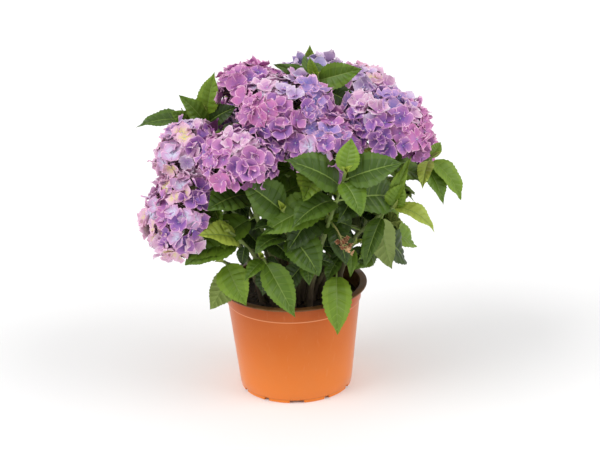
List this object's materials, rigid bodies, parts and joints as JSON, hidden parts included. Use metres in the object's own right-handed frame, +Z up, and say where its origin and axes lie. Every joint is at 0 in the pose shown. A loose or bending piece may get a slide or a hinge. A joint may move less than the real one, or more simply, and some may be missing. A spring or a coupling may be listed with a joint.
{
  "type": "potted mophead hydrangea",
  "caption": "Bushy flowering shrub in a tapered plastic nursery pot, with domed heads of four-petalled florets over opposite pairs of pointed leaves on a fan of canes.",
  "frame": {"origin": "middle of the flat underside of the pot, where it stands", "axes": "+Z straight up the pot's axis, -Y towards the front of the plant as the picture shows it, +X to the right of that view"},
  "size_m": [0.4079, 0.3575, 0.442],
  "materials": {
    "pot": "satin moulded plastic, terracotta orange outside and dark brown inside and on the lip",
    "compost": "dark crumbly moist compost",
    "cane": "green to pale brown young bark with small raised dots",
    "foliage": "quilted mid-green leaves, satin above and paler beneath",
    "bloom": "soft matt petals, mauve to lilac blue with thin pink rims and pale centres"
  },
  "bodies": {
    "root": {"pot": "pot", "compost": "compost", "cane_top_front": "cane", "bloom_top_front": "bloom", "cane_top_left": "cane", "bloom_top_left": "bloom", "cane_top_back": "cane", "bloom_top_back": "bloom", "cane_top_right": "cane", "bloom_top_right": "bloom", "cane_right": "cane", "bloom_right": "bloom", "cane_middle": "cane", "bloom_middle": "bloom", "cane_centre_left": "cane", "bloom_centre_left": "bloom", "cane_left": "cane", "bloom_left": "bloom", "cane_low_left": "cane", "bloom_low_left": "bloom", "cane_back_left": "cane", "bloom_back_left": "bloom", "cane_back": "cane", "bloom_back": "bloom", "cane_back_right": "cane", "bloom_back_right": "bloom", "cane_far_right": "cane", "bloom_far_right": "bloom", "shoot_cane_top": "cane", "leaves_top": "foliage", "shoot_cane_front": "cane", "leaves_front": "foliage", "shoot_cane_left": "cane", "leaves_left": "foliage", "shoot_cane_left_small": "cane", "leaves_left_small": "foliage", "shoot_cane_crest": "cane", "leaves_crest": "foliage", "shoot_cane_right": "cane", "leaves_right": "foliage", "shoot_cane_low_right": "cane", "leaves_low_right": "foliage", "shoot_cane_low_front": "cane", "leaves_low_front": "foliage", "shoot_cane_mid": "cane", "leaves_mid": "foliage", "shoot_cane_low_left": "cane", "leaves_low_left": "foliage", "leaves_skirt_front": "foliage", "leaves_skirt_centre": "foliage", "leaves_skirt_left": "foliage", "leaves_skirt_right": "foliage", "leaves_skirt_far_right": "foliage", "shoot_cane_back": "cane", "leaves_back": "foliage", "shoot_cane_back_left": "cane", "leaves_back_left": "foliage", "shoot_cane_back_right": "cane", "leaves_back_right": "foliage"}
  },
  "joints": []
}
